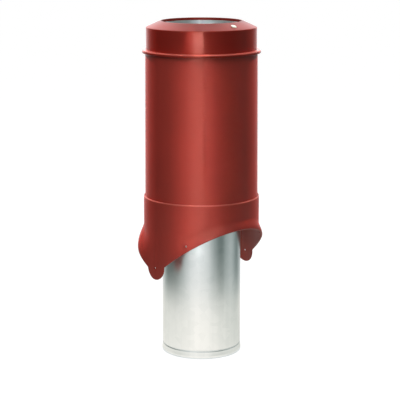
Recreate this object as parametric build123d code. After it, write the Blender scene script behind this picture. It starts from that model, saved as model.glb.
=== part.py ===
from build123d import *
import math
import os

# Insulated roof ventilation outlet. Millimetres, +Z up.
# The origin is on the duct's axis at its lower end. -Y is the skirt's straight-cut side,
# +Y its rounded side, and the two flaps with their tongues lie at +X and -X.

# Inner duct of galvanised sheet
duct_d = 160.0
duct_wall = 0.7
duct_reach = 300.0
groove_z = 16.0
groove_depth = 0.6
groove_width = 5.0
foot_swell = 1.3
hem_height = 5.0
hem_thickness = 1.6
hem_round = 0.7

# Outer pipe, slightly wider at its foot so that it leaves the mould
pipe_top_d = 224.8
pipe_foot_d = 229.0
pipe_length = 318.7
pipe_wall = 3.0
pipe_end_chamfer = 0.8

# Top cap
cap_body_d = 221.6
cap_body_height = 44.5
cap_cone_rise = 12.8
cap_wall = 2.8
shoulder_round = 2.0
flange_d = 238.0
flange_thickness = 2.6
lip_drop = 6.2
lip_wall = 2.6
flange_round = 1.0
spigot_length = 22.0
spigot_clearance = 0.25
mouth_wall = 2.7
mouth_clearance = 0.3
mouth_sleeve = 26.0
mouth_recess = 5.4
mouth_round = 1.0

# Plug in the foam filling hole, on the cone
plug_head_d = 11.5
plug_head_height = 1.6
plug_stem_d = 8.0
plug_stem_length = 7.0
plug_dome = 1.1
plug_lead_in = 1.0
plug_clearance = 0.15

# Roof skirt
skirt_wall = 2.6
collar_clearance = 0.3
collar_overlap = 26.1
collar_round = 1.1
ledge_thickness = 3.0
ledge_width = 4.0
cut_drop = 124.3
front_cut_angle = 37.9
back_cut_angle = 24.0
back_cut_radius = 400.0
tongue_width = 50.0
tongue_drop = 9.4
tongue_corner = 4.0
tongue_hole_rise = 24.0
hole_d = 4.4
side_hole_angle = 54.4
side_hole_margin = 12.0

# Flare of the skirt: how far its edge stands out from the collar, and how far above
# the edge it starts, at key angles in degrees from the straight-cut side
flare_out = [(0, 8.1), (40, 7.9), (82, 4.6), (96, 4.7), (122, 13.4), (150, 8.3), (180, 8.1)]
flare_rise = [(0, 18.0), (45, 27.0), (90, 90.0), (122, 46.0), (150, 30.0), (180, 18.0)]
section_step = 3.5
section_points = 90

# Foam between duct and pipe
foam_clearance = 0.2

# How far a cutting shape runs past what it cuts, and how near two places count as one
cut_margin = 4.0
same_place = 0.02

# Places worked out from the sizes above
duct_r = duct_d / 2
pipe_top = duct_reach + pipe_length
flange_top = pipe_top + flange_thickness
shoulder = flange_top + cap_body_height
mouth_top = shoulder + cap_cone_rise
duct_length = mouth_top - mouth_recess
mouth_bore_r = duct_r + mouth_clearance
mouth_r = mouth_bore_r + mouth_wall
cap_r = cap_body_d / 2
spigot_r = pipe_top_d / 2 - pipe_wall - spigot_clearance
cone_angle = math.degrees(math.atan2(cap_cone_rise, cap_r - mouth_r))
collar_bore_r = pipe_foot_d / 2 + collar_clearance
collar_r = collar_bore_r + skirt_wall
collar_top = duct_reach + collar_overlap
cut_z = duct_reach - cut_drop
tongue_r = tongue_width / 2
tongue_tip = cut_z - tongue_drop
skirt_reach = collar_r + max(out for _, out in flare_out) + cut_margin


def ease(t):
    """Smooth step from 0 to 1, level at both ends."""
    t = min(max(t, 0.0), 1.0)
    return t * t * (3 - 2 * t)


def at_angle(keys, degrees):
    """Value at an angle, eased between the key angles, alike on both sides of the skirt."""
    angle = abs((degrees + 180) % 360 - 180)
    for (a0, v0), (a1, v1) in zip(keys, keys[1:]):
        if angle <= a1:
            return v0 + (v1 - v0) * ease((angle - a0) / (a1 - a0))
    return keys[-1][1]


def back_arc_centre():
    """Centre of the rounded cut, in (y, z): it leaves the flap's middle at its own angle."""
    slope = math.radians(back_cut_angle)
    return -back_cut_radius * math.sin(slope), cut_z + back_cut_radius * math.cos(slope)


def cut_height(y):
    """Height of the skirt's lower edge, seen along X: a straight cut in front, an arc behind."""
    if y < 0:
        return cut_z - y * math.tan(math.radians(front_cut_angle))
    centre_y, centre_z = back_arc_centre()
    return centre_z - math.sqrt(back_cut_radius**2 - (y - centre_y) ** 2)


def edge_radius(degrees):
    """Outer radius of the skirt at its lower edge."""
    return collar_r + at_angle(flare_out, degrees)


def edge_height(degrees):
    """Height of the skirt's lower edge at an angle, without the tongues."""
    return cut_height(-edge_radius(degrees) * math.cos(math.radians(degrees)))


def skirt_radius(degrees, z):
    """Outer radius of the skirt: the collar's, plus a flare that grows down to the edge."""
    rise = at_angle(flare_rise, degrees)
    t = min(max((edge_height(degrees) + rise - z) / rise, 0.0), 1.0)
    return collar_r + at_angle(flare_out, degrees) * ease(t)


def on_circle(radius, degrees, z):
    """Point at an angle counted from -Y towards +X."""
    a = math.radians(degrees)
    return radius * math.sin(a), -radius * math.cos(a), z


def revolved(points):
    """Solid of revolution about Z from a closed outline of (radius, z) points."""
    outline = Polyline(*[(r, 0, z) for r, z in points], close=True)
    return revolve(make_face(outline), Axis.Z)


def circles_near(solid, radius, z):
    """Circular edges about Z of one radius at one height."""
    def matches(edge):
        return abs(edge.radius - radius) < same_place and abs(edge.center().Z - z) < same_place
    return [e for e in solid.edges().filter_by(GeomType.CIRCLE) if matches(e)]


def make_inner_duct():
    """Sheet tube, open at both ends: a rolled groove, a swelled foot and a folded hem."""
    inner_r = duct_r - duct_wall
    foot_r = duct_r + foot_swell
    groove_top = groove_z + groove_width / 2
    groove_foot = groove_z - groove_width / 2
    outer_groove = ThreePointArc(
        (duct_r, groove_top), (duct_r - groove_depth, groove_z), (duct_r, groove_foot))
    inner_groove = ThreePointArc(
        (inner_r, groove_foot), (inner_r - groove_depth, groove_z), (inner_r, groove_top))
    foot = Polyline(
        outer_groove @ 1,
        (foot_r, hem_height),
        (foot_r, 0),
        (foot_r - hem_thickness, 0),
        (foot_r - hem_thickness, hem_height),
        (foot_r - duct_wall, hem_height),
        inner_groove @ 0,
    )
    tube = Polyline(inner_groove @ 1, (inner_r, duct_length), (duct_r, duct_length), outer_groove @ 0)
    profile = make_face([outer_groove, foot, inner_groove, tube])
    corners = [v for v in profile.vertices() if abs(v.X - foot_r) < same_place]
    profile = fillet(corners, hem_round)
    return revolve(Plane.XZ * profile, Axis.Z)


def make_outer_pipe():
    """Moulded pipe, open at both ends, with a slight taper and chamfers that lead it in."""
    top_r, foot_r = pipe_top_d / 2, pipe_foot_d / 2
    pipe = revolved([
        (foot_r - pipe_wall, duct_reach),
        (foot_r, duct_reach),
        (top_r, pipe_top),
        (top_r - pipe_wall, pipe_top),
    ])
    outer_ends = circles_near(pipe, foot_r, duct_reach) + circles_near(pipe, top_r, pipe_top)
    return chamfer(outer_ends, pipe_end_chamfer)


def make_top_cap():
    """Cap: mouth, cone, straight body, flange with a drip lip, and a spigot in the pipe."""
    slope = math.radians(cone_angle)
    drop = cap_wall / math.cos(slope)
    sleeve_end = mouth_top - mouth_sleeve
    inner_cone_z = mouth_top - drop
    inner_shoulder = inner_cone_z - (cap_r - cap_wall - mouth_r) * math.tan(slope)
    cap = revolved([
        (mouth_bore_r, sleeve_end),
        (mouth_r, sleeve_end),
        (mouth_r, inner_cone_z),
        (cap_r - cap_wall, inner_shoulder),
        (cap_r - cap_wall, pipe_top),
        (spigot_r - cap_wall, pipe_top - cap_wall),
        (spigot_r - cap_wall, pipe_top - spigot_length),
        (spigot_r, pipe_top - spigot_length),
        (spigot_r, pipe_top),
        (flange_d / 2 - lip_wall, pipe_top),
        (flange_d / 2 - lip_wall, flange_top - lip_drop),
        (flange_d / 2, flange_top - lip_drop),
        (flange_d / 2, flange_top),
        (cap_r, flange_top),
        (cap_r, shoulder),
        (mouth_r, mouth_top),
        (mouth_bore_r, mouth_top),
    ])
    cap = fillet(circles_near(cap, cap_r, shoulder), shoulder_round)
    flange_edges = circles_near(cap, flange_d / 2, flange_top)
    flange_edges += circles_near(cap, flange_d / 2, flange_top - lip_drop)
    cap = fillet(flange_edges, flange_round)
    cap = fillet(circles_near(cap, mouth_bore_r, mouth_top), mouth_round)
    return cap - plug_place() * Cylinder(plug_stem_d / 2 + plug_clearance, 2 * plug_stem_length)


def plug_place():
    """Middle of the cone's slope on the straight-cut side, with local Z out of the cone."""
    middle = on_circle((mouth_r + cap_r) / 2, 0, (mouth_top + shoulder) / 2)
    return Pos(*middle) * Rot(X=cone_angle)


def make_cap_plug():
    """Push-in plug: a domed head on the cone and a round stem through its hole."""
    head = Pos(Z=plug_head_height / 2) * Cylinder(plug_head_d / 2, plug_head_height)
    head = fillet(head.edges().group_by(Axis.Z)[-1], plug_dome)
    stem = Pos(Z=-plug_stem_length / 2) * Cylinder(plug_stem_d / 2, plug_stem_length)
    stem = chamfer(stem.edges().group_by(Axis.Z)[0], plug_lead_in)
    return plug_place() * (head + stem)


def skirt_loft(inset, low, high):
    """Closed solid through level sections of the skirt, taken in by a wall's thickness.

    All sections share one set of knots, which keeps the lofted surface light.
    """
    steps = math.ceil((high - low) / section_step)
    knots = [k / section_points for k in range(section_points + 1)]
    sections = []
    for i in range(steps + 1):
        z = low + (high - low) * i / steps
        points = []
        for k in range(section_points):
            a = 360 * k / section_points
            points.append(on_circle(skirt_radius(a, z) - inset, a, z))
        ring = Edge.make_spline([Vector(*p) for p in points], periodic=True, parameters=knots)
        sections.append(Wire([ring]))
    return Solid.make_loft(sections)


def cut_outline():
    """What the side view keeps of the skirt: above the two cuts, and the rounded tongue."""
    reach = skirt_reach
    centre = back_arc_centre()
    end_angle = math.degrees(math.asin((reach - centre[0]) / back_cut_radius))
    arc = CenterArc(centre, back_cut_radius, back_cut_angle - 90, end_angle - back_cut_angle)
    start = (-reach, cut_height(-reach))
    roof = collar_top + cut_margin
    upper = Polyline(arc @ 1, (reach, roof), (-reach, roof), start)
    above = make_face([Line(start, (0, cut_z)), arc, upper])
    middle = tongue_tip + tongue_r
    tongue = Pos(Y=middle) * Circle(tongue_r) + Pos(Y=middle + tongue_r) * Rectangle(
        tongue_width, tongue_width)
    outline = above + tongue
    corners = []
    for y in (-tongue_r, tongue_r):
        corners += outline.vertices().sort_by_distance((y, cut_height(y)))[:1]
    return fillet(corners, tongue_corner)


def skirt_holes():
    """Screw holes: one in each tongue and one beside the straight cut on either side."""
    drill = Cylinder(hole_d / 2, 2 * (skirt_wall + cut_margin))
    tongue_z = tongue_tip + tongue_hole_rise
    holes = []
    for side in (-1, 1):
        r = skirt_radius(90, tongue_z)
        holes.append(Pos(*on_circle(r, side * 90, tongue_z)) * Rot(Y=90) * drill)
        a = side * side_hole_angle
        z = edge_height(a) + side_hole_margin
        place = Pos(*on_circle(skirt_radius(a, z), a, z))
        holes.append(place * Rot(Z=a) * Rot(X=90) * drill)
    return holes


def make_roof_skirt():
    """Sleeve round the pipe's foot, flaring into two cut slopes and two hanging flaps."""
    low = tongue_tip - cut_margin
    outer = skirt_loft(0, low, collar_top)
    inner = skirt_loft(skirt_wall, low - cut_margin, collar_top + cut_margin)
    ledge_r = collar_bore_r - ledge_width
    ledge = Pos(Z=duct_reach - ledge_thickness / 2) * (
        Cylinder(collar_bore_r + skirt_wall / 2, ledge_thickness)
        - Cylinder(ledge_r, ledge_thickness + cut_margin))
    keep = extrude(Plane.YZ * cut_outline(), amount=skirt_reach, both=True)
    skirt = (outer - inner + ledge) & keep
    collar_edge = skirt.edges().group_by(Axis.Z)[-1].sort_by(SortBy.LENGTH)[-1]
    return fillet(collar_edge, collar_round) - skirt_holes()


def make_insulation():
    """Foam that fills the space between duct and pipe, and the cap down to its spigot."""
    c = foam_clearance
    slope = math.tan(math.radians(cone_angle))
    sleeve_end = mouth_top - mouth_sleeve
    cone_z = mouth_top - cap_wall / math.cos(math.radians(cone_angle)) - 2 * c
    cap_bore_r = cap_r - cap_wall - c
    foot_r = pipe_foot_d / 2 - pipe_wall - c
    top_r = pipe_top_d / 2 - pipe_wall - c
    spigot_end = pipe_top - spigot_length - c
    taper = (foot_r - top_r) / pipe_length
    foam = revolved([
        (duct_r + c, duct_reach),
        (foot_r, duct_reach),
        (top_r + taper * (pipe_top - spigot_end), spigot_end),
        (spigot_r - cap_wall - c, spigot_end),
        (spigot_r - cap_wall - c, pipe_top - cap_wall),
        (cap_bore_r, pipe_top),
        (cap_bore_r, cone_z - (cap_bore_r - mouth_r) * slope),
        (mouth_r + c, cone_z),
        (mouth_r + c, sleeve_end - c),
        (duct_r + c, sleeve_end - c),
    ])
    hole_depth = 2 * (plug_stem_length + plug_lead_in)
    return foam - plug_place() * Cylinder(plug_stem_d / 2 + 2 * plug_clearance, hole_depth)


parts = {
    "inner_duct": make_inner_duct(),
    "outer_pipe": make_outer_pipe(),
    "top_cap": make_top_cap(),
    "cap_plug": make_cap_plug(),
    "roof_skirt": make_roof_skirt(),
    "insulation": make_insulation(),
}
os.makedirs("parts", exist_ok=True)
for name, shape in parts.items():
    export_step(shape, f"parts/{name}.step")
    print(name, round(shape.volume / 1000, 1), "cm3")
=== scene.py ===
# %% [markdown]
# # A roof ventilation outlet pipe
#
# The object is an insulated outlet that stands on a roof: a bright galvanised duct in the
# middle, a red moulded pipe with a cap round it, and a flared skirt at the pipe's foot that
# sheds the rain on to the roofing. Its exact solids come from CAD and are loaded here as a
# fixed frame. This lesson dresses them: it works out finer surfaces for the moulded and
# rolled parts, gives every part its finish, and sets up the light and the camera.
#
# The frame is loaded first, because every surface below is fitted to it.

# %% Load the frame
import math

import bmesh
import bpy
import numpy as np
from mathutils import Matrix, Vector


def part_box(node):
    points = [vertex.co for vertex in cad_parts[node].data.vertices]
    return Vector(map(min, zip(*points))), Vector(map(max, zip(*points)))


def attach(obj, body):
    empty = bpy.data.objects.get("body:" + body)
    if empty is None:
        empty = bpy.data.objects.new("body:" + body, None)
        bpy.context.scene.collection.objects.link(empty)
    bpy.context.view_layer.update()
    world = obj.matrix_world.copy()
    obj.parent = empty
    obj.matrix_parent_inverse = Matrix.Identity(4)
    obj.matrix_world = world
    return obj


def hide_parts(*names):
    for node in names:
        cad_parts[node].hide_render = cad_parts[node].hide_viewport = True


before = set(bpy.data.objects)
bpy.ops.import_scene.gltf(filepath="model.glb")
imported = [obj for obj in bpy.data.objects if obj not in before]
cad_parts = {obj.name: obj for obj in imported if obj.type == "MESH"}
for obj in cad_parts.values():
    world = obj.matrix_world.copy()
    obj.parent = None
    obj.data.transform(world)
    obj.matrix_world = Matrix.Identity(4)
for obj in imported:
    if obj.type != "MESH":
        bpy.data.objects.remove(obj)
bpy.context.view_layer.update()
MM = 0.001

# %% [markdown]
# ## Shader sums written as sums
#
# A finish is a small web of nodes, and most of its links are arithmetic. Placing a Math node
# for each plus sign hides the idea, so `Strand` wraps one output socket and overloads the
# operators: `0.4 + 0.1 * grain` adds its Math nodes by itself.


# %% Strand
class Strand:
    """One value inside a material: an output socket that can be added and multiplied."""

    def __init__(self, finish, socket):
        self.finish = finish
        self.socket = socket

    def sum(self, operation, a, b=0.0):
        """Math node of one operation on one or two values or strands."""
        return self.finish.node("ShaderNodeMath", {"operation": operation}, {0: a, 1: b})

    def __add__(self, other):
        return self.sum("ADD", self, other)

    def __sub__(self, other):
        return self.sum("SUBTRACT", self, other)

    def __rsub__(self, other):
        return self.sum("SUBTRACT", other, self)

    def __mul__(self, other):
        return self.sum("MULTIPLY", self, other)

    def __pow__(self, power):
        return self.sum("POWER", self, power)

    def __abs__(self):
        return self.sum("ABSOLUTE", self)

    def fade(self, start, stop):
        """0 before start, 1 past stop, and an eased step between the two."""
        return self.finish.node(
            "ShaderNodeMapRange", {"interpolation_type": "SMOOTHSTEP"},
            {"Value": self, "From Min": start, "From Max": stop}, "Result")

    __radd__ = __add__
    __rmul__ = __mul__


print("strands can be added, subtracted, multiplied, raised to a power and faded")

# %% [markdown]
# ## A finish under construction
#
# Any node that isn't a sum comes from `Finish.node`, which takes the node's type, its
# settings, and the values or strands of its inputs. Colours never pass through a Math node,
# which would turn them grey. They are blended by a Mix node in `Finish.blend`.


# %% Finish
class Finish:
    """A material under construction, with its Principled shader."""

    def __init__(self, name):
        self.material = bpy.data.materials.new(name)
        self.material.use_nodes = True
        self.tree = self.material.node_tree
        self.shader = next(n for n in self.tree.nodes if n.type == "BSDF_PRINCIPLED")

    def node(self, kind, settings=None, values=None, output=0):
        """Add a node, set it up, feed its inputs, and give back one of its outputs."""
        node = self.tree.nodes.new(kind)
        for setting, value in (settings or {}).items():
            setattr(node, setting, value)
        for key, value in (values or {}).items():
            self.feed(node.inputs[key], value)
        return Strand(self, node.outputs[output])

    def feed(self, socket, value):
        """Link a strand to a socket, or set a plain value on it."""
        if isinstance(value, Strand):
            self.tree.links.new(value.socket, socket)
        else:
            socket.default_value = value

    def blend(self, mask, first, second):
        """Colour between two colours, by a mask from 0 to 1."""
        mix = self.tree.nodes.new("ShaderNodeMix")
        mix.data_type = "RGBA"
        for key, value in (("Factor_Float", mask), ("A_Color", first), ("B_Color", second)):
            socket = next(s for s in mix.inputs if s.identifier == key)
            self.feed(socket, value)
        return Strand(self, next(s for s in mix.outputs if s.identifier == "Result_Color"))

    def surface(self, **sockets):
        """Set the Principled shader's sockets; underscores stand for spaces."""
        for name, value in sockets.items():
            self.feed(self.shader.inputs[name.replace("_", " ")], value)

    def bump(self, height, depth):
        """Dent the surface by a height from 0 to 1 that stands for a depth in metres."""
        self.surface(Normal=self.node(
            "ShaderNodeBump", None, {"Height": height, "Distance": depth, "Strength": 1.0}))


def srgb(red, green, blue):
    """Linear colour of screen values from 0 to 255."""
    screen = np.array([red, green, blue]) / 255
    linear = np.where(screen <= 0.04045, screen / 12.92, ((screen + 0.055) / 1.055) ** 2.4)
    return (*linear.tolist(), 1.0)


print("mid grey on the screen is", round(srgb(128, 128, 128)[0], 3), "in linear light")

# %% [markdown]
# ## Red moulded plastic
#
# The pipe, the cap and the skirt are moulded in one brick-red plastic that stands up to sun.
# Up close such a surface is never even: the pigment clouds a little, the mould's fine grain
# breaks the shine, and the melt leaves faint streaks along the way it flowed. The pattern
# runs on Object coordinates, in metres, so it lies on the part at its true size.
#
# One function makes the finish in two grades. The pipe and the skirt come from a dull,
# grained mould. The cap's mould was polished, so its red is deeper and its shine tighter.
# The upper edges of the skirt's collar and of the cap's flange carry a painted highlight: each
# is a thin line, painted a little paler and made smoother than the rest. A mask on the height finds
# it.


# %% Red plastic
def red_plastic(name, colour, roughness, shine, grain_depth, flow_strength, edge_z):
    """Moulded plastic: cloudy pigment, mould grain, streaks along the pipe, a painted edge highlight.
    """
    finish = Finish(name)
    place = finish.node("ShaderNodeTexCoord", None, None, "Object")
    along = finish.node("ShaderNodeMapping", None, {"Vector": place, "Scale": (90.0, 90.0, 4.0)})
    clouds = finish.node(
        "ShaderNodeTexNoise", None, {"Vector": place, "Scale": 14.0, "Detail": 3.0})
    streaks = finish.node(
        "ShaderNodeTexNoise", None, {"Vector": along, "Scale": 1.0, "Detail": 2.0})
    specks = finish.node(
        "ShaderNodeTexNoise", None, {"Vector": place, "Scale": 900.0, "Detail": 2.0})
    grain = finish.node(
        "ShaderNodeTexNoise", None,
        {"Vector": place, "Scale": 1500.0, "Detail": 1.0, "Roughness": 0.4})
    deep = tuple(c * 0.92 for c in colour[:3]) + (1.0,)
    pale = tuple(c * 1.06 for c in colour[:3]) + (1.0,)
    mixed = (clouds * 0.6 + specks * 0.25 + streaks * 0.15).fade(0.34, 0.66)
    height = finish.node("ShaderNodeSeparateXYZ", None, {"Vector": place}, "Z")
    # A thin line at edge_z gets a painted highlight: paler red, and a little smoother
    highlight_line = 1 - abs(height - edge_z).fade(edge_half, 2 * edge_half)
    finish.surface(
        Base_Color=finish.blend(highlight_line, finish.blend(mixed, deep, pale), highlight_red),
        Roughness=roughness - 0.05 + 0.06 * clouds + flow_strength * streaks - 0.1 * highlight_line,
        IOR=1.48,
        Specular_IOR_Level=shine,
        Specular_Tint=(1.0, 0.95, 0.8, 1.0),
    )
    finish.bump(grain * 0.7 + specks * 0.3, grain_depth)
    return finish.material


brick_red = srgb(172, 46, 36)
deep_red = srgb(146, 34, 25)
# Paler red painted on the top edges as a highlight
highlight_red = srgb(206, 92, 80)
cone_rise, cap_body = 12.8, 44.5
# Heights of the painted highlight lines, just under the collar's top and the flange's top
edge_half, edge_drop = 0.8 * MM, 0.9 * MM
collar_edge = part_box("roof_skirt")[1][2] - edge_drop
flange_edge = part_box("top_cap")[1][2] - (cone_rise + cap_body) * MM - edge_drop
grained_red = red_plastic("red_plastic_grained", brick_red, 0.50, 0.60, 0.00006, 0.05, collar_edge)
polished_red = red_plastic("red_plastic_polished", deep_red, 0.36, 0.32, 0.00002, 0.03, flange_edge)
print("red plastic in two grades:", grained_red.name, polished_red.name)

# %% [markdown]
# ## Galvanised sheet
#
# The duct is rolled from thin galvanised sheet. The zinc is bright but not a mirror: the
# rolls leave fine lines, the zinc sets in faint patches, and handling leaves dull spots. A
# long noise, stretched along the duct, makes the lines. Patches from a Voronoi pattern
# change the roughness a little from one to the next, so that a reflection changes its
# softness as it does on real zinc. The sheet's weld runs down the outside at the back as a
# dull stripe, and the inside of the duct is duller than the outside.

# %% Galvanised sheet
duct_r, sheet = 80.0, 0.7
skin = 0.1
weld_half = 3.0 * MM


def galvanised_sheet():
    """Bright zinc with rolling lines, faint patches, a dull inside and a weld at the back."""
    finish = Finish("galvanised_sheet")
    place = finish.node("ShaderNodeTexCoord", None, None, "Object")
    split = finish.tree.nodes.new("ShaderNodeSeparateXYZ")
    finish.feed(split.inputs[0], place)
    x, y = Strand(finish, split.outputs["X"]), Strand(finish, split.outputs["Y"])
    long_lines = finish.node(
        "ShaderNodeMapping", None, {"Vector": place, "Scale": (90.0, 90.0, 1.5)})
    lines = finish.node(
        "ShaderNodeTexNoise", None, {"Vector": long_lines, "Scale": 1.0, "Detail": 4.0})
    patches = finish.node("ShaderNodeTexVoronoi", None, {"Vector": place, "Scale": 75.0}, "Color")
    patch = finish.node("ShaderNodeSeparateColor", None, {"Color": patches}, "Red")
    clouds = finish.node(
        "ShaderNodeTexNoise", None, {"Vector": place, "Scale": 9.0, "Detail": 3.0})
    at_back = y.fade(0.0, 10 * MM)
    radius = (x * x + y * y) ** 0.5
    inside = 1 - radius.fade((duct_r - sheet + skin) * MM, (duct_r - skin) * MM)
    seam = (1 - abs(x).fade(weld_half * 0.4, weld_half)) * at_back * (1 - inside)
    tone = (lines * 0.5 + patch * 0.2 + clouds * 0.3).fade(0.25, 0.75)
    zinc = finish.blend(tone, srgb(209, 215, 215), srgb(219, 224, 224))
    finish.surface(
        Base_Color=finish.blend(seam * 0.8, zinc, srgb(150, 156, 158)),
        Metallic=1.0,
        Roughness=0.25 + 0.04 * lines + 0.015 * patch + 0.03 * clouds + 0.2 * seam + 0.25 * inside,
    )
    finish.bump(lines * 0.4 + clouds * 0.6 + seam * 0.5, 0.00003)
    return finish.material


zinc_sheet = galvanised_sheet()
print("galvanised sheet, its weld on the +Y side")

# %% [markdown]
# ## Foam and plug
#
# Rigid foam fills the space between duct and pipe. It shows only from below, as a ring
# between the duct and the skirt, cut off flat. A cut shows the foam's cells as tiny pits.
# The plug is a cream-white press-in stopper with the soft shine of polythene.


# %% Foam and plug finishes
def cut_foam():
    """Rigid foam: pits where the cells were cut open, and a skin that yellows in patches."""
    finish = Finish("rigid_foam")
    place = finish.node("ShaderNodeTexCoord", None, None, "Object")
    cells = finish.node("ShaderNodeTexVoronoi", None, {"Vector": place, "Scale": 700.0})
    bubbles = finish.node("ShaderNodeTexVoronoi", None, {"Vector": place, "Scale": 160.0})
    clouds = finish.node(
        "ShaderNodeTexNoise", None, {"Vector": place, "Scale": 30.0, "Detail": 4.0})
    pits = cells.fade(0.1, 0.6) * 0.7 + bubbles.fade(0.05, 0.3) * 0.3
    tone = clouds.fade(0.35, 0.65) * 0.6 + pits * 0.4
    finish.surface(
        Base_Color=finish.blend(tone, srgb(186, 150, 92), srgb(226, 203, 150)),
        Roughness=0.85 + 0.1 * clouds,
        Specular_IOR_Level=0.3,
    )
    finish.bump(pits, 0.0008)
    return finish.material


def cream_plastic():
    """Soft cream-white plastic with a faint cloudiness and a fine grain."""
    finish = Finish("cream_plastic")
    place = finish.node("ShaderNodeTexCoord", None, None, "Object")
    clouds = finish.node(
        "ShaderNodeTexNoise", None, {"Vector": place, "Scale": 350.0, "Detail": 2.0})
    finish.surface(
        Base_Color=finish.blend(clouds.fade(0.3, 0.7), srgb(240, 234, 214), srgb(250, 247, 234)),
        Roughness=0.32 + 0.1 * clouds,
        Subsurface_Weight=0.15,
        Subsurface_Scale=0.001,
    )
    finish.bump(clouds, 0.00003)
    return finish.material


foam_finish = cut_foam()
plug_finish = cream_plastic()
print("foam and plug finishes ready")

# %% [markdown]
# ## Surfaces from arrays
#
# The moulded parts are shells: walls that close on themselves. Such a wall can be worked out
# as a grid of points. One way along the grid goes up the outside, over the top edge, down
# the inside and back round the lower lip. The other way goes round the pipe. Both ways close,
# so a whole shell is one array of rows and columns, and no modifier has to thicken it.
# Places are worked out in millimetres and turned into metres when the mesh is made.


# %% Grids and turned surfaces
def shell(name, points):
    """Mesh from rows x columns x 3 points in mm; both ways round the grid close."""
    rows, columns = points.shape[:2]
    here = np.arange(rows * columns).reshape(rows, columns)
    above = np.roll(here, -1, axis=0)
    quads = np.stack([here, np.roll(here, -1, 1), np.roll(above, -1, 1), above], -1).reshape(-1, 4)
    mesh = bpy.data.meshes.new(name)
    mesh.vertices.add(rows * columns)
    mesh.vertices.foreach_set("co", (points * MM).astype(np.float32).ravel())
    mesh.loops.add(quads.size)
    mesh.loops.foreach_set("vertex_index", quads.ravel().astype(np.int32))
    mesh.polygons.add(len(quads))
    mesh.polygons.foreach_set("loop_start", np.arange(0, quads.size, 4, dtype=np.int32))
    mesh.update(calc_edges=True)
    mesh.validate()
    mesh.shade_smooth()
    piece = bpy.data.objects.new(name, mesh)
    bpy.context.scene.collection.objects.link(piece)
    return piece


def round_axis(radius, degrees, height):
    """Points at a radius and an angle counted from -Y towards +X; the arrays broadcast."""
    radius, degrees, height = np.broadcast_arrays(radius, degrees, height)
    a = np.radians(degrees)
    return np.stack([radius * np.sin(a), -radius * np.cos(a), height], -1)


def turned(outline, columns=256):
    """Surface of revolution: every outline point carried round the axis."""
    around = np.arange(columns) * 360 / columns
    return round_axis(outline[:, 0:1], around[None, :], outline[:, 1:2])


print("a ring of four:", round_axis(1.0, np.arange(0, 360, 90), 0.0).round().tolist())

# %% [markdown]
# ### Rounded outlines
#
# A turned part needs only its outline. `rounded` turns an outline's corners into true arcs,
# and puts a point just before and after each arc, which keeps the shading of a long flat
# wall from being dragged along by its rounded edge.

# %% Rounded corners
corner_steps = 5


def rounded(corners, steps=corner_steps, hold=0.35):
    """Closed outline through (radius, height, rounding) corners.

    A corner that turns by t is trimmed by q tan(t/2) on both sides and bridged by an arc of
    radius q: start + q sin(s) along the first side + q (1 - cos(s)) along its normal. Each
    corner gives steps + 2 points.
    """
    corners = np.array(corners, float)
    spot, q = corners[:, :2], corners[:, 2:3]
    into = spot - np.roll(spot, 1, axis=0)
    into /= np.linalg.norm(into, axis=1, keepdims=True)
    out = np.roll(into, -1, axis=0)
    turn = np.arctan2(into[:, 0] * out[:, 1] - into[:, 1] * out[:, 0], (into * out).sum(1))[:, None]
    trim = q * np.tan(np.abs(turn) / 2)
    side = np.sign(turn) * np.stack([-into[:, 1], into[:, 0]], -1)
    swing = np.linspace(0, 1, steps)[None, :, None] * np.abs(turn)[:, :, None]
    arc = (spot - trim * into)[:, None] + q[:, None] * (
        np.sin(swing) * into[:, None] + (1 - np.cos(swing)) * side[:, None])
    before = arc[:, :1] - hold * into[:, None]
    after = arc[:, -1:] + hold * out[:, None]
    return np.concatenate([before, arc, after], axis=1).reshape(-1, 2)


corner_points = corner_steps + 2
print("points for each corner:", corner_points)

# %% [markdown]
# ### From a mesh to a finished piece
#
# Each piece stands for one solid of the frame, which is then hidden. A surface that is
# turned down to the axis also has a ring of points in one place there, and they are joined
# to one.


# %% Dress a piece
def close_poles(piece):
    """Join the rings of zero radius, where a turned surface meets its own axis."""
    merged = bmesh.new()
    merged.from_mesh(piece.data)
    bmesh.ops.remove_doubles(merged, verts=merged.verts, dist=0.001 * MM)
    loose = [edge for edge in merged.edges if not edge.link_faces]
    bmesh.ops.delete(merged, geom=loose, context="EDGES")
    merged.to_mesh(piece.data)
    merged.free()


def dress(piece, finish, node):
    """Give a piece its finish and let it stand for a solid of the frame."""
    piece.data.materials.clear()
    piece.data.materials.append(finish)
    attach(piece, "root")
    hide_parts(node)
    piece.data.calc_loop_triangles()
    print(piece.name, "stands for", node, "with", len(piece.data.loop_triangles), "triangles")


print("pieces to dress:", [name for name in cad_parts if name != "insulation"])

# %% [markdown]
# ## Duct
#
# The duct is a sheet tube. Near its foot a shallow groove is rolled in, below that the sheet
# swells slightly, and its end is folded inwards to a hem, so that no sharp edge is left. All
# of it turns round the axis. The groove's wall is a cosine wave, as a roller leaves it.

# %% Duct
duct_bottom, duct_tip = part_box("inner_duct")
duct_end = duct_tip[2] / MM
groove_z, groove_half, groove_depth = 16.0, 2.8, 0.9
foot_r, hem_top, hem_wall = 81.3, 5.0, 1.6
swell_top = groove_z - groove_half - 0.6


def groove_wave(radius, down):
    """Wall points through the rolled groove: radius less a cosine hollow."""
    z = groove_z + np.linspace(-groove_half, groove_half, 25)
    hollow = groove_depth * (0.5 + 0.5 * np.cos(np.pi * (z - groove_z) / groove_half))
    wave = np.stack([radius - hollow, z], -1)
    return wave[::-1] if down else wave


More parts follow.
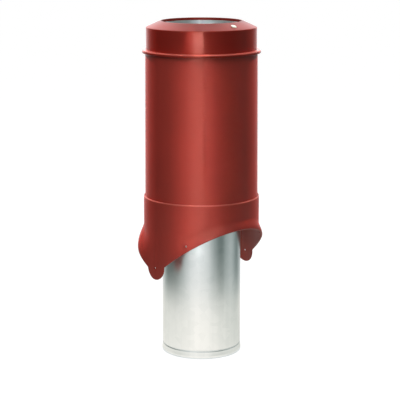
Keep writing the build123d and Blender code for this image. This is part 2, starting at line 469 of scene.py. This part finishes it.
hem = rounded([
    (duct_r - sheet, swell_top, 0.1),
    (foot_r - sheet, hem_top + 0.4, 0.3),
    (foot_r - hem_wall, hem_top, 0.3),
    (foot_r - hem_wall, 0.0, 0.6),
    (foot_r, 0.0, 0.9),
    (foot_r, hem_top + 0.6, 2.5),
    (duct_r, swell_top, 0.1),
])[corner_points:-corner_points]
lip = rounded([
    (duct_r, duct_end, 0.25), (duct_r - sheet, duct_end, 0.25), (duct_r, 0, 0.1),
])[:-corner_points]
outline = np.concatenate([
    hem, groove_wave(duct_r, False), lip, groove_wave(duct_r - sheet, True)])
duct = shell("galvanised_duct", turned(outline, 320))
dress(duct, zinc_sheet, "inner_duct")

# %% [markdown]
# ## Pipe
#
# The pipe is moulded with a slight taper, wider at its foot. Its ends are hidden in the cap
# and the skirt, but they are real edges, so they are rounded too.

# %% Pipe
pipe_low, pipe_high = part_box("outer_pipe")
pipe_wall, pipe_taper = 3.0, 2.1
pipe_foot_r = pipe_high[0] / MM
pipe_top_r = pipe_foot_r - pipe_taper
pipe_z0, pipe_z1 = pipe_low[2] / MM, pipe_high[2] / MM
pipe = shell("red_pipe", turned(rounded([
    (pipe_foot_r - pipe_wall, pipe_z0, 0.3),
    (pipe_foot_r, pipe_z0, 0.8),
    (pipe_top_r, pipe_z1, 0.8),
    (pipe_top_r - pipe_wall, pipe_z1, 0.3),
])))
dress(pipe, grained_red, "outer_pipe")

# %% [markdown]
# ## Cap
#
# The cap is one moulding: a mouth round the duct, a sloping cone, a straight body, and a
# flange whose rim turns down as a drip edge. Inside, a sleeve reaches down round the duct's
# end and a spigot plugs into the pipe. Its outline is a list of corners, each with the
# rounding of its own edge: soft at the shoulder, tight at the drip edge.

# %% Cap
cap_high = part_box("top_cap")[1]
mouth_top = cap_high[2] / MM
flange_r = cap_high[0] / MM
cap_r, cap_wall = 110.8, 2.8
mouth_bore, mouth_r, sleeve = 80.3, 83.0, 26.0
shoulder_z = mouth_top - cone_rise
flange_z = shoulder_z - cap_body
flange_wall, drip, drip_wall = 2.6, 6.2, 2.6
spigot_r, spigot = 109.15, 22.0
fall = cone_rise / (cap_r - mouth_r)
cone_under = mouth_top - cap_wall * math.hypot(1, fall)
cap = shell("red_cap", turned(rounded([
    (mouth_bore, mouth_top - sleeve, 0.4),
    (mouth_r, mouth_top - sleeve, 0.4),
    (mouth_r, cone_under, 0.5),
    (cap_r - cap_wall, cone_under - (cap_r - cap_wall - mouth_r) * fall, 1.5),
    (cap_r - cap_wall, flange_z - flange_wall, 0.8),
    (spigot_r - cap_wall, flange_z - flange_wall - cap_wall, 0.8),
    (spigot_r - cap_wall, flange_z - flange_wall - spigot, 0.4),
    (spigot_r, flange_z - flange_wall - spigot, 0.6),
    (spigot_r, flange_z - flange_wall, 0.2),
    (flange_r - drip_wall, flange_z - flange_wall, 0.5),
    (flange_r - drip_wall, flange_z - drip, 0.5),
    (flange_r, flange_z - drip, 1.1),
    (flange_r, flange_z, 2.4),
    (cap_r, flange_z, 0.7),
    (cap_r, shoulder_z, 2.0),
    (mouth_r - 0.6, mouth_top, 0.8),
    (mouth_bore, mouth_top, 0.9),
])))
dress(cap, polished_red, "top_cap")

# %% [markdown]
# ## Skirt
#
# The skirt is the part that takes skill. It starts as a straight collar round the pipe's
# foot and flares out towards its lower edge. That edge follows the roof: seen from the side
# it is a straight slope in front and a large arc behind, with a rounded tongue hanging from
# each flap.
#
# The wall's radius is a function of angle and height: the collar's radius, plus a flare
# that eases in over a certain rise above the edge. How far it flares and how high it starts
# change round the skirt, so both are eased between a few key angles. The lower edge is
# worked out first, as one line that runs down the front slope, round the tongue and up the
# arc. Columns of points then climb from it to the collar.

# %% The skirt's wall and its cuts
skirt_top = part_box("roof_skirt")[1][2] / MM
collar_r, skirt_wall = 117.4, 2.6
ledge_z, ledge_wall, ledge_reach = pipe_z0, 3.0, 4.0
cut_z, front_angle, back_angle, back_r = 175.7, math.radians(37.9), math.radians(24.0), 400.0
back_y, back_z = -back_r * math.sin(back_angle), cut_z + back_r * math.cos(back_angle)
flare_out = np.array([
    (0, 8.1), (40, 7.9), (82, 4.6), (96, 4.7), (122, 13.4), (150, 8.3), (180, 8.1)])
flare_rise = np.array([(0, 18.0), (45, 27.0), (90, 90.0), (122, 46.0), (150, 30.0), (180, 18.0)])
widest, lobe_z = 122.0, 200.0


def ease(t):
    """Smooth step from 0 to 1, level at both ends."""
    t = np.clip(t, 0, 1)
    return t * t * (3 - 2 * t)


def between(keys, degrees):
    """Value at each angle, eased from one key to the next, alike on both sides."""
    angle = np.abs((degrees + 180) % 360 - 180)
    k = np.clip(np.searchsorted(keys[:, 0], angle, side="right") - 1, 0, len(keys) - 2)
    share = (angle - keys[k, 0]) / (keys[k + 1, 0] - keys[k, 0])
    return keys[k, 1] + (keys[k + 1, 1] - keys[k, 1]) * ease(share)


def cut_height(y):
    """Height of the cut seen from the side: straight for y < 0, an arc for y > 0."""
    arc = back_z - np.sqrt(np.maximum(back_r**2 - (y - back_y) ** 2, 0))
    return np.where(y < 0, cut_z - y * math.tan(front_angle), arc)


def cut_slope(y):
    """Rise of the cut for each mm along y."""
    bend = (y - back_y) / np.sqrt(np.maximum(back_r**2 - (y - back_y) ** 2, 1))
    return np.where(y < 0, -math.tan(front_angle), bend)


def skirt_radius(degrees, z):
    """Outer radius: the collar's, plus the flare eased in between its start and the edge."""
    out, rise = between(flare_out, degrees), between(flare_rise, degrees)
    edge = cut_height(-(collar_r + out) * np.cos(np.radians(degrees)))
    return collar_r + out * ease((edge + rise - z) / rise)


lobe = float(skirt_radius(np.array(widest), lobe_z)) - collar_r
print("flare at the widest lobe:", round(lobe, 1), "mm")

# %% [markdown]
# ### The tongue
#
# Seen from the side, the tongue is a half disc. Where it meets the two cuts, a small hollow
# round blends the corner, because a sharp one would tear. The line is a chain of arcs, each
# given by its centre, its radius and the angles where it starts and ends. It carries its
# normals with it: they say which way the material lies, and the lip is rounded along them.

# %% The tongue's outline
tongue_r, corner_r, tongue_drop = 25.0, 4.0, 9.4
tongue_mid = cut_z - tongue_drop + tongue_r


def arc_run(centre, radius, start, stop, count, hollow):
    """Points of an arc in the side view, with normals that point into the material."""
    a = np.linspace(start, stop, count)
    ray = np.stack([np.cos(a), np.sin(a)], -1)
    return np.array(centre) + radius * ray, ray if hollow else -ray


front_y = -(tongue_r + corner_r)
front_z = cut_z - front_y * math.tan(front_angle) - corner_r / math.cos(front_angle)
front_corner = (front_y, front_z)
gap = np.array([back_y, back_z - tongue_mid])
span = np.linalg.norm(gap)
reach_a, reach_b = tongue_r + corner_r, back_r + corner_r
along = (span**2 + reach_a**2 - reach_b**2) / (2 * span)
across = math.sqrt(reach_a**2 - along**2)
unit = gap / span
back_corner = np.array([0, tongue_mid]) + along * unit + across * np.array([unit[1], -unit[0]])
meet = math.atan2(back_corner[1] - tongue_mid, back_corner[0])
leave = math.atan2(back_z - back_corner[1], back_y - back_corner[0])
runs = [
    arc_run(front_corner, corner_r, math.pi / 2 - front_angle, 0.0, 9, True),
    arc_run((0, tongue_mid), tongue_r, -math.pi, meet, 64, False),
    arc_run(back_corner, corner_r, meet + math.pi, leave, 9, True),
]
tongue_line = np.concatenate([line for line, _ in runs])
tongue_into = np.concatenate([into for _, into in runs])
print("tongue line from y", tongue_line[0].round(1), "to", tongue_line[-1].round(1))

# %% [markdown]
# ### The edge and the wall
#
# `rim` gives the whole lower edge of one side, from the front middle to the back middle,
# for a place inside the wall and a lift into the material. Asked for several places across
# the wall, with the lift of a half circle, it makes the rounded lip.

# %% The skirt's lower edge
front_count, back_count = 96, 96
lip_round = 1.1
tongue_margin = 0.01


def angle_at(y, z, inset):
    """Angle of the wall's point with this y: cos(angle) = -y / radius, found by repetition."""
    degrees = np.full_like(y, 90.0)
    for _ in range(12):
        radius = skirt_radius(degrees, z) - inset
        degrees = np.degrees(np.arccos(np.clip(-y / radius, -1, 1)))
    return degrees


def rim(inset, lift):
    """Angles and heights of the lower edge of one half, front to back."""
    tongue = tongue_line + lift * tongue_into
    tongue_angle = angle_at(tongue[:, 0], tongue[:, 1], inset)
    ends = angle_at(tongue_line[[0, -1], 0], tongue_line[[0, -1], 1], inset)
    front = ends[0] * np.arange(front_count) / front_count
    back = ends[1] + (180 - ends[1]) * np.arange(1, back_count + 1) / back_count
    free = np.concatenate([front, back])
    y = -(collar_r + between(flare_out, free) - inset) * np.cos(np.radians(free))
    tilt = np.hypot(1, cut_slope(y) * np.sin(np.radians(free)))
    height = cut_height(y) + lift * tilt
    return (np.concatenate([front, tongue_angle, back]),
            np.concatenate([height[:front_count], tongue[:, 1], height[front_count:]]))


step = np.linalg.norm(np.diff(tongue_line, axis=0), axis=1)
share = np.concatenate([[0], np.cumsum(step)]) / step.sum()
edge_angle, edge_z = rim(0.0, lip_round)
column_angle = edge_angle.copy()
tongue_columns = slice(front_count, front_count + len(tongue_line))
first, last = edge_angle[front_count - 1], edge_angle[front_count + len(tongue_line)]
column_angle[tongue_columns] = first + (last - first) * (
    tongue_margin + (1 - 2 * tongue_margin) * share)
print("columns round one half:", len(column_angle))

# %% [markdown]
# ### The whole shell
#
# The rows now follow one after the other: up the outside, over the collar's rounded top, down
# past the ledge that carries the pipe, down the inside, and round the lip. One half is worked
# out, and the other is its mirror image. The columns of the two half edges are shared.

# %% The skirt's shell
swing = np.linspace(math.pi, 0, 9)[1:-1]
lip_insets = skirt_wall / 2 * (1 - np.cos(swing))
lip_lifts = lip_round * (1 - np.sin(swing))
lip_edges = [rim(inset, lift) for inset, lift in zip(lip_insets, lip_lifts)]
lip_angles = np.stack([edge[0] for edge in lip_edges])
lip_heights = np.stack([edge[1] for edge in lip_edges])
lip_radii = skirt_radius(lip_angles, lip_heights) - lip_insets[:, None]
inner_angle, inner_z = rim(skirt_wall, lip_round)


def climb(start_angle, start_z, end_z, inset, count, power):
    """Rows from the edge up to a level height; each column slides to its own collar angle."""
    t = (np.linspace(0, 1, count) ** power)[:, None]
    degrees = start_angle + (column_angle - start_angle) * t
    z = start_z + (end_z - start_z) * t
    return degrees, z, skirt_radius(degrees, z) - inset


def turned_rows(outline):
    """Rows at each outline point's own radius and height, where the wall is simply turned."""
    radius, z = outline.T[:, :, None]
    along = np.ones_like(column_angle)
    return column_angle * np.ones_like(z), z * along, radius * along


collar_in, ledge_under = collar_r - skirt_wall, ledge_z - ledge_wall
collar_steps, soft_edge = 4, 0.4
outer_rows, inner_rows, crowding = 46, 34, 1.25
below_top, below_ledge = 2.6, 0.8
outer = climb(edge_angle, edge_z, skirt_top - below_top, 0.0, outer_rows, crowding)
inner = climb(inner_angle, inner_z, ledge_under - below_ledge, skirt_wall, inner_rows, crowding)
top_edge = rounded([
    (collar_r, skirt_top, 1.8),
    (collar_in, skirt_top, soft_edge),
    (collar_in, ledge_z, soft_edge),
    (collar_in - ledge_reach, ledge_z, soft_edge),
    (collar_in - ledge_reach, ledge_under, soft_edge),
    (collar_in, ledge_under, 0.3),
    (collar_r, 0.0, 0.1),
], collar_steps)[:-(collar_steps + 2)]
down_inside = tuple(rows[::-1] for rows in inner)
blocks = [outer, turned_rows(top_edge), down_inside, (lip_angles, lip_heights, lip_radii)]
angles, heights, radii = (np.concatenate(rows) for rows in zip(*blocks))
half = round_axis(radii, angles, heights)
other = half[:, -2:0:-1] * np.array([-1.0, 1.0, 1.0])
skirt = shell("red_skirt", np.concatenate([half, other], axis=1))
print("skirt grid:", *half.shape[:2], "for one half")

# %% [markdown]
# ### Screw holes
#
# Two holes go through the tongues and two through the wall above the front slope. A
# Boolean modifier cuts them with round pins, and the result is stored in the mesh.


# %% Drill the skirt
pin_half = 8.0


def drill(piece, degrees, z, radius):
    """Cut a round hole through the wall, straight towards the axis."""
    around = np.linspace(0, 2 * math.pi, 32, endpoint=False)[:, None]
    middle = float(skirt_radius(np.array(float(degrees)), z)) - skirt_wall / 2
    out, upright = round_axis(1.0, degrees, 0.0), np.array([0.0, 0.0, 1.0])
    sideways = np.array([-out[1], out[0], 0.0])
    ring = radius * (np.cos(around) * sideways + np.sin(around) * upright)
    ends = [(middle + d) * out + z * upright + ring for d in (-pin_half, pin_half)]
    count = len(around)
    walls = [(i, (i + 1) % count, count + (i + 1) % count, count + i) for i in range(count)]
    pin_mesh = bpy.data.meshes.new("pin")
    pin_mesh.from_pydata((np.concatenate(ends) * MM).tolist(), [], walls + [
        tuple(range(count))[::-1], tuple(range(count, 2 * count))])
    pin = bpy.data.objects.new("pin", pin_mesh)
    bpy.context.scene.collection.objects.link(pin)
    cut = piece.modifiers.new("hole", "BOOLEAN")
    cut.operation, cut.solver, cut.object = "DIFFERENCE", "MANIFOLD", pin
    solid = bpy.data.meshes.new_from_object(
        piece.evaluated_get(bpy.context.evaluated_depsgraph_get()))
    piece.modifiers.remove(cut)
    piece.data = solid
    bpy.data.objects.remove(pin)
    print("hole at", degrees, "degrees, now", len(solid.vertices), "points")


hole_r, hole_rise, slope_hole, hole_margin = 2.2, 24.0, 54.4, 12.0
tongue_hole_z = cut_z - tongue_drop + hole_rise
slope_r = collar_r + float(between(flare_out, np.array(slope_hole)))
slope_z = float(cut_height(-slope_r * math.cos(math.radians(slope_hole))))
for side in (-1, 1):
    drill(skirt, 90 * side, tongue_hole_z, hole_r)
    drill(skirt, slope_hole * side, slope_z + hole_margin, hole_r)
skirt.data.set_sharp_from_angle(angle=math.radians(50))
dress(skirt, grained_red, "roof_skirt")

# %% [markdown]
# ## Plug
#
# The plug's head is a low dome with the mark of the mould's gate in its middle, and its stem
# goes through the cap. It is turned like the rest, then tilted to lie on the cone.

# %% Plug
head_r, head_high, head_rim, stem_r, stem_long = 5.75, 1.6, 0.5, 4.0, 7.0
share_out = np.linspace(1, 0, 18)
dome_z = head_rim + (head_high - head_rim) * np.sqrt(1 - (share_out * 0.98) ** 2)
gate_mark = 0.25 * np.exp(-((share_out / 0.22) ** 2))
plug_line = np.concatenate([
    [(0, -stem_long), (stem_r - 1, -stem_long), (stem_r, 1 - stem_long), (stem_r, 0), (head_r, 0)],
    np.stack([head_r * share_out, dome_z - gate_mark], -1)])
tilt = math.atan(fall)
turn_down = np.array([
    [1, 0, 0], [0, math.cos(tilt), -math.sin(tilt)], [0, math.sin(tilt), math.cos(tilt)]])
seat = np.array([0.0, -(mouth_r + cap_r) / 2, (mouth_top + shoulder_z) / 2])
plug = shell("cream_plug", turned(plug_line, 48) @ turn_down.T + seat)
close_poles(plug)
dress(plug, plug_finish, "cap_plug")

# %% [markdown]
# ## Foam
#
# The foam's solid already has the true shape, so it stays, with its own finish on its
# material slots.

# %% Give the foam its finish
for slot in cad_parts["insulation"].material_slots:
    slot.material = foam_finish
print("insulation ->", foam_finish.name)

# %% [markdown]
# ## Camera
#
# The photograph was taken from a little above the cap, 40 degrees round from the skirt's
# straight-cut side. The camera stands there, 2.8 metres away, with a long lens: from so far
# the pipe's two sides stay nearly upright, as they are in the photograph. The focal length
# is given in pixels of the picture and turned into millimetres of the sensor.

# %% Camera
look_from = -40.0
camera_distance = 2.8
camera_height = 0.893
focal_px, picture_px = 1400.0, 400
pitch = 11.69
yaw = 0.06


def round_about(degrees, distance, height):
    """Point at a compass angle counted from -Y towards +X."""
    a = math.radians(degrees)
    return distance * math.sin(a), -distance * math.cos(a), height


lens = bpy.data.cameras.new("camera")
lens.sensor_width = 36.0
lens.lens = focal_px / picture_px * lens.sensor_width
lens.clip_end = 100.0
camera = bpy.data.objects.new("camera", lens)
bpy.context.scene.collection.objects.link(camera)
camera.location = round_about(look_from, camera_distance, camera_height)
camera.rotation_euler = (math.radians(90 - pitch), 0, math.radians(look_from + yaw))
bpy.context.scene.camera = camera
print("lens", round(lens.lens, 1), "mm, pitch", pitch)

# %% [markdown]
# ## Light
#
# In the photograph one pale band runs down the pipe and stops at the steel. A large soft
# lamp can't draw that. A studio uses a strip light with a grid, which lets light out only
# straight ahead, and an area lamp with a small spread does the same: it lights a narrow
# band and nothing beside it. Such a lamp needs very few watts.
#
# Three strips draw the band: a level one for its lower half, one from high up for its upper
# half, and a broad, weaker one for its soft sides. A short strip lights the cap. Two large
# soft lamps fill the left and the right, and one fills the back, so that the outlet looks
# right from every side. Two more strips stand behind and graze the flanks, for pale rims.
# Those two are hidden from reflections, or they would glare in the steel.

# %% Light
axis_aim = 0.4


def soft_light(name, degrees, distance, size, watts, rise=0.0, aim=axis_aim, spread=180.0, aside=0.0):
    """Lamp of a given width and height that looks at the axis from an angle above it.

    A small spread works as a grid does: the light falls only on what lies straight ahead.
    The aside moves the lamp sideways, so that it looks past the axis at one flank.
    """
    lamp = bpy.data.lights.new(name, "AREA")
    lamp.shape = "RECTANGLE"
    lamp.size, lamp.size_y = size
    lamp.energy = watts
    lamp.spread = math.radians(spread)
    holder = bpy.data.objects.new(name, lamp)
    bpy.context.scene.collection.objects.link(holder)
    up = math.radians(rise)
    x, y, z = round_about(degrees, distance * math.cos(up), aim + distance * math.sin(up))
    aside_x, aside_y, _ = round_about(degrees + 90, aside, 0)
    holder.location = (x + aside_x, y + aside_y, z)
    holder.rotation_euler = (math.pi / 2 - up, 0, math.radians(degrees))
    return holder


near, far = 1.5, 2.4
soft_light("low_key", look_from - 6, near, (0.02, 0.40), 0.0155, 0, 0.42, 4.8)
soft_light("high_key", look_from - 6, near, (0.02, 0.33), 0.028, 50, 0.285, 4.8)
soft_light("broad_key", look_from + 2, near, (0.02, 0.376), 0.029, 20, 0.36, 8.5)
soft_light("cap_key", look_from - 5, near, (0.01, 0.06), 0.0065, 8, 0.64, 2.3)
soft_light("left_fill", look_from - 48, far, (1.0, 1.6), 13.5, 45)
soft_light("right_fill", look_from + 40, far, (1.6, 0.8), 8.5, 60)
soft_light("back_fill", look_from + 180, far, (1.6, 1.6), 16.0, 30)
for name, side, watts in (("left_rim", -1, 0.11), ("right_rim", 1, 0.095)):
    rim_light = soft_light(
        name, look_from + 140 * side, 1.8, (0.02, 0.5), watts, 30, 0.45, 2.2, -0.1 * side)
    rim_light.visible_glossy = False

# %% [markdown]
# ## Floor and background
#
# The photograph's background is plain white. More light all round would also flatten the
# object, so the white is only shown, not cast: a Light Path node tells which rays come
# straight from the camera, from a reflection or through something clear, and for those the
# world has a strength of 1. For all other rays it is dim.


# %% World
def seen_directly(tree):
    """1 where the camera, a reflection or a see-through ray looks, 0 for light's own bounces."""
    path = tree.nodes.new("ShaderNodeLightPath")
    seen = path.outputs["Is Camera Ray"]
    for ray in ("Is Glossy Ray", "Is Transmission Ray"):
        larger = tree.nodes.new("ShaderNodeMath")
        larger.operation = "MAXIMUM"
        tree.links.new(seen, larger.inputs[0])
        tree.links.new(path.outputs[ray], larger.inputs[1])
        seen = larger.outputs[0]
    return seen


world_light = 0.3
world = bpy.data.worlds.new("studio")
bpy.context.scene.world = world
world.use_nodes = True
sky = world.node_tree.nodes["Background"]
sky.inputs["Color"].default_value = (1, 1, 1, 1)
strength = world.node_tree.nodes.new("ShaderNodeMapRange")
strength.inputs["To Min"].default_value = world_light
strength.inputs["To Max"].default_value = 1.0
world.node_tree.links.new(seen_directly(world.node_tree), strength.inputs["Value"])
world.node_tree.links.new(strength.outputs[0], sky.inputs["Strength"])
print("the world lights at", world_light, "and is seen at 1")

# %% [markdown]
# ### Floor
#
# The floor is dark grey paper with a glow on top that only seen rays take. Paper and glow
# together come to white. Where the object keeps light off the paper, a faint shadow stays.

# %% Floor
paper = bpy.data.materials.new("floor_paper")
paper.use_nodes = True
tree = paper.node_tree
tree.nodes.remove(next(n for n in tree.nodes if n.type == "BSDF_PRINCIPLED"))
matte = tree.nodes.new("ShaderNodeBsdfDiffuse")
matte.inputs["Color"].default_value = (0.2, 0.2, 0.2, 1)
glow = tree.nodes.new("ShaderNodeEmission")
tree.links.new(seen_directly(tree), glow.inputs["Strength"])
glow.inputs["Color"].default_value = (0.94, 0.94, 0.94, 1)
both = tree.nodes.new("ShaderNodeAddShader")
tree.links.new(matte.outputs[0], both.inputs[0])
tree.links.new(glow.outputs[0], both.inputs[1])
tree.links.new(both.outputs[0], tree.nodes["Material Output"].inputs["Surface"])

floor_z = duct_bottom[2]
floor_half = 40.0
corners = [(x * floor_half, y * floor_half, floor_z) for x, y in ((-1, -1), (1, -1), (1, 1), (-1, 1))]
floor_mesh = bpy.data.meshes.new("floor")
floor_mesh.from_pydata(corners, [], [(0, 1, 2, 3)])
floor_mesh.materials.append(paper)
floor = bpy.data.objects.new("floor", floor_mesh)
bpy.context.scene.collection.objects.link(floor)
bpy.context.scene.view_settings.view_transform = "Standard"
print("floor", 2 * floor_half, "m wide, white where it is seen")

# %% [markdown]
# ## What the steel mirrors
#
# Bright zinc shows hardly any colour of its own: it shows the room round it. A plain white
# room would leave the duct blank. The two dark bands that run down it, and fade towards
# its foot, are reflections of darker things to the left and right of the camera. So the
# outlet gets a card, a flat dish on the floor with a ring round it, that only reflections
# see. It takes part in nothing else.
#
# The tones of the ring and of the dish are given at a few angles, counted from the camera.
# They were set by comparing renders with the photograph.

# %% Tones of the card
ring_tone = np.array([
    (-180, 1.0), (-140, 0.9), (-113, 0.1), (-85, 0.03), (-66, 0.13), (-45, 0.55), (-28, 0.98),
    (0, 1.0), (19, 0.8), (37, 0.32), (56, 0.1), (72, 0.5), (90, 0.62), (119, 0.16), (145, 0.8),
    (180, 1.0)])
dish_tone = np.array([
    (-180, 1.2), (-131, 0.98), (-98, 1.05), (-63, 1.12), (-28, 1.22), (0, 1.3), (28, 1.18),
    (67, 1.0), (103, 0.86), (119, 0.84), (139, 0.92), (180, 1.2)])
print("darkest part of the ring:", ring_tone[:, 1].min(), "at", ring_tone[ring_tone[:, 1].argmin(), 0])

# %% [markdown]
# ### The card's rows
#
# The card runs from the duct's foot over the floor and up to a metre. Each row says where it
# lies and how much of the ring's tone it takes. The tall rows are dimmed in front, where
# they would grey the red, and are brighter behind, where the rims and the cone mirror them.

# %% Reflection card
# Each row: radius, height, share of the ring's tone, dimmed to, added behind
card_rows = np.array([
    (0.085, 0.001, 0.0, 1.0, 0.0),
    (0.25, 0.001, 0.0, 1.0, 0.0),
    (0.40, 0.001, 0.0, 1.0, 0.0),
    (0.40, 0.03, 0.55, 1.0, 0.0),
    (0.40, 0.07, 0.94, 1.0, 0.0),
    (0.40, 0.12, 1.0, 1.0, 0.0),
    (0.40, 0.20, 1.0, 1.0, 0.0),
    (0.40, 0.27, 1.0, 0.4, 2.0),
    (0.40, 0.66, 1.0, 0.4, 2.2),
    (0.40, 0.71, 1.0, 0.4, 1.8),
    (0.40, 1.00, 1.0, 0.4, 1.8),
])
behind_from, behind_full = 110, 150


def reflection_card(parts=180):
    """Dish and ring of card that only reflections see; each point has its own grey.

    grey = (dish + (ring - dish) * share) * (dim + back * behind), where dish and ring are
    the tones at the point's angle, and behind rises from 0 to 1 round towards the back. The
    dish is a little warmer than the ring.
    """
    degrees = np.linspace(-180, 180, parts + 1)
    ring, dish = (np.interp(degrees, keys[:, 0], keys[:, 1]) for keys in (ring_tone, dish_tone))
    behind = np.clip((np.abs(degrees) - behind_from) / (behind_full - behind_from), 0, 1)
    radius, height, share, dim, back = card_rows.T[:, :, None]
    grey = ((dish + (ring - dish) * share) * (dim + back * behind)).ravel()
    points = round_axis(radius, look_from + degrees, floor_z + height).reshape(-1, 3)
    here = np.arange(len(points)).reshape(len(card_rows), parts + 1)
    quads = np.stack([here[:-1, :-1], here[:-1, 1:], here[1:, 1:], here[1:, :-1]], -1)
    card = bpy.data.meshes.new("reflection_card")
    card.from_pydata(points.tolist(), [], quads.reshape(-1, 4).tolist())
    paint = card.color_attributes.new("grey", "FLOAT_COLOR", "POINT")
    warm = np.repeat(1 - card_rows[:, 2], parts + 1)
    # The card glows with these greys: a painted reflection of the darker things round the camera,
    # warmer in the dish
    colour = np.stack([
        grey**1.12 * (1 + 0.06 * warm), grey**0.97 * (1 + 0.02 * warm), grey * (1 - 0.05 * warm),
        np.ones_like(grey)], -1)
    paint.data.foreach_set("color", colour.astype(np.float32).ravel())
    shade = bpy.data.materials.new("reflection_card")
    shade.use_nodes = True
    nodes = shade.node_tree.nodes
    nodes.remove(next(n for n in nodes if n.type == "BSDF_PRINCIPLED"))
    glow = nodes.new("ShaderNodeEmission")
    tone = nodes.new("ShaderNodeVertexColor")
    tone.layer_name = "grey"
    shade.node_tree.links.new(tone.outputs["Color"], glow.inputs["Color"])
    shade.node_tree.links.new(glow.outputs[0], nodes["Material Output"].inputs["Surface"])
    card.materials.append(shade)
    holder = bpy.data.objects.new("reflection_card", card)
    bpy.context.scene.collection.objects.link(holder)
    holder.visible_camera = False
    holder.visible_diffuse = False
    holder.visible_shadow = False
    holder.visible_transmission = False
    return holder


print("reflection card with", len(reflection_card().data.polygons), "faces")
